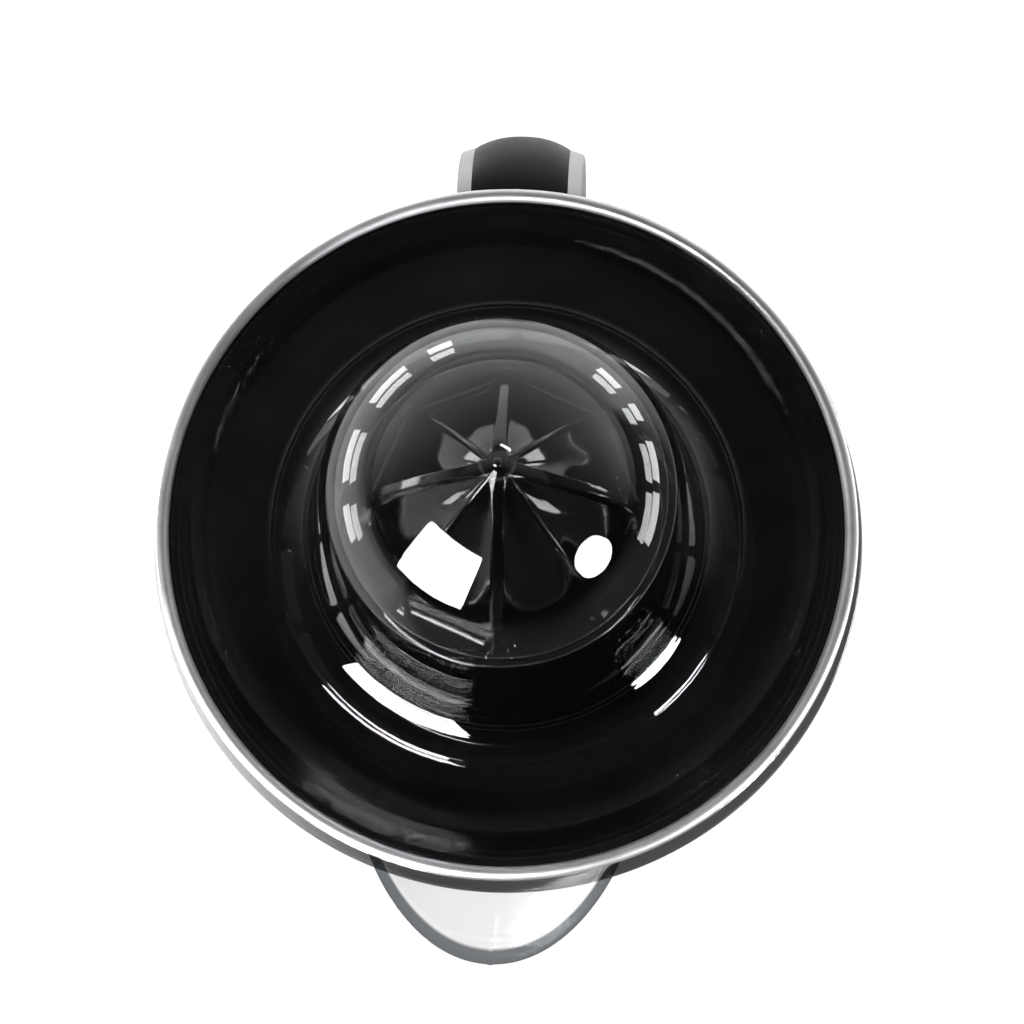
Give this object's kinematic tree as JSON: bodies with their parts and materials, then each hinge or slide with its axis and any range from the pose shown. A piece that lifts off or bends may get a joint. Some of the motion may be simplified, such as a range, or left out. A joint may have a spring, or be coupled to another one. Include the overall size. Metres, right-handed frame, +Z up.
{
  "type": "citrus press juicer",
  "caption": "Electric citrus press: round motor base, clear jug with spout and rear handle, black slotted bowl with a steel rim, fluted reamer under a clear domed cover.",
  "frame": {"origin": "on the spindle axis, in the plane that the feet stand on", "axes": "+Z up along the spindle, +Y towards the handle, -Y towards the pouring lip, +X to the right seen from the lip"},
  "size_m": [0.179, 0.2225, 0.2364],
  "materials": {
    "black_gloss": "polished",
    "black_matte": "fine satin",
    "brushed_steel": "brushed",
    "polished_steel": "polished",
    "chrome": "bright",
    "silver_paint": "satin silver",
    "soft_grip": "smooth",
    "foot_rubber": "matt",
    "clear_jug": "clear moulded plastic",
    "clear_lid": "clear moulded plastic",
    "zinc_screw": "zinc plated",
    "plate_steel": "sheet steel",
    "shaft_steel": "ground",
    "spring_steel": "drawn wire",
    "bronze": "sintered",
    "lamination": "laminated",
    "winding": "enamelled wire under tape",
    "bobbin": "moulded",
    "nylon": "moulded",
    "rotor": "turned",
    "switch_black": "moulded",
    "switch_red": "moulded"
  },
  "bodies": {
    "base": {"base_housing": "black_gloss", "base_sleeve": "brushed_steel", "bottom_cover": "black_matte", "rubber_feet": "foot_rubber", "bottom_screws": "zinc_screw", "cord_gland": "black_matte", "gear_plate": "plate_steel", "gear_plate_screws": "zinc_screw", "compound_axle": "shaft_steel", "spindle_bush_low": "bronze", "tower_bush_low": "nylon", "tower_bush_top": "nylon", "return_spring": "spring_steel", "motor_core": "lamination", "coil_bobbin": "bobbin", "motor_winding": "winding", "motor_bracket_low": "plate_steel", "motor_bracket_top": "plate_steel", "motor_bushes": "bronze", "motor_bolts": "zinc_screw", "switch_body": "switch_black", "switch_bracket": "plate_steel", "terminal_block": "nylon", "terminal_screws": "zinc_screw"},
    "rotor": {"motor_rotor": "rotor", "motor_shaft": "shaft_steel", "motor_pinion": "bronze"},
    "compound": {"compound_gear": "nylon"},
    "output": {"output_gear": "nylon"},
    "spindle_carrier": {"thrust_washer": "nylon"},
    "spindle": {"drive_spindle": "shaft_steel", "spindle_clip": "spring_steel"},
    "switch_arm": {"switch_lever": "plate_steel"},
    "switch_button": {"switch_plunger": "switch_red"},
    "jug": {"jug_vessel": "clear_jug", "handle_cheek_left": "silver_paint", "handle_cheek_right": "silver_paint", "handle_grip": "soft_grip", "handle_screws": "zinc_screw"},
    "bowl": {"strainer_bowl": "black_gloss", "steel_band": "polished_steel", "rim_bead": "chrome"},
    "cone_carrier": {"cone_ring": "nylon"},
    "cone": {"reamer": "black_gloss"},
    "lid": {"dust_cover": "clear_lid"}
  },
  "joints": [
    {"name": "rotor_spin", "type": "hinge", "parent": "base", "child": "rotor", "pos_m": [0.03, 0, 0.04], "axis": [0, 0, 1], "continuous": true},
    {"name": "compound_spin", "type": "hinge", "parent": "base", "child": "compound", "pos_m": [0.02278, 0.02788, 0.05], "axis": [0, 0, 1], "continuous": true},
    {"name": "output_spin", "type": "hinge", "parent": "base", "child": "output", "pos_m": [0, 0, 0.05], "axis": [0, 0, 1], "continuous": true},
    {"name": "spindle_press", "type": "slide", "parent": "base", "child": "spindle_carrier", "axis": [0, 0, -1], "range_m": [0, 0.0025], "deforming": ["return_spring"]},
    {"name": "spindle_spin", "type": "hinge", "parent": "spindle_carrier", "child": "spindle", "pos_m": [0, 0, 0.1], "axis": [0, 0, 1], "continuous": true},
    {"name": "lever_tilt", "type": "hinge", "parent": "base", "child": "switch_arm", "pos_m": [-0.017, 0, 0.0293], "axis": [0, 1, 0], "range_deg": [0, 8.43]},
    {"name": "plunger_press", "type": "slide", "parent": "base", "child": "switch_button", "axis": [0, 0, -1], "range_m": [0, 0.0011]},
    {"name": "jug_lift", "type": "slide", "parent": "base", "child": "jug", "axis": [0, 0, 1], "range_m": [0, 0.145]},
    {"name": "bowl_lift", "type": "slide", "parent": "jug", "child": "bowl", "axis": [0, 0, 1], "range_m": [0, 0.08]},
    {"name": "reamer_press", "type": "slide", "parent": "bowl", "child": "cone_carrier", "axis": [0, 0, -1], "range_m": [0, 0.0025], "stiffness_N_per_m": 1200, "springref_m": -0.006},
    {"name": "reamer_spin", "type": "hinge", "parent": "cone_carrier", "child": "cone", "pos_m": [0, 0, 0.19], "axis": [0, 0, 1], "continuous": true},
    {"name": "cover_lift", "type": "slide", "parent": "bowl", "child": "lid", "axis": [0, 0, 1], "range_m": [0, 0.1]}
  ],
  "couplings": [
    {"joint": "compound_spin", "follows": "rotor_spin", "ratio": -0.2},
    {"joint": "output_spin", "follows": "rotor_spin", "ratio": 0.04},
    {"joint": "spindle_spin", "follows": "rotor_spin", "ratio": 0.04},
    {"joint": "reamer_spin", "follows": "rotor_spin", "ratio": 0.04},
    {"joint": "spindle_press", "follows": "reamer_press", "ratio": 1},
    {"joint": "lever_tilt", "follows": "reamer_press", "rad_per_m": 58.8},
    {"joint": "plunger_press", "follows": "reamer_press", "ratio": 0.44}
  ]
}
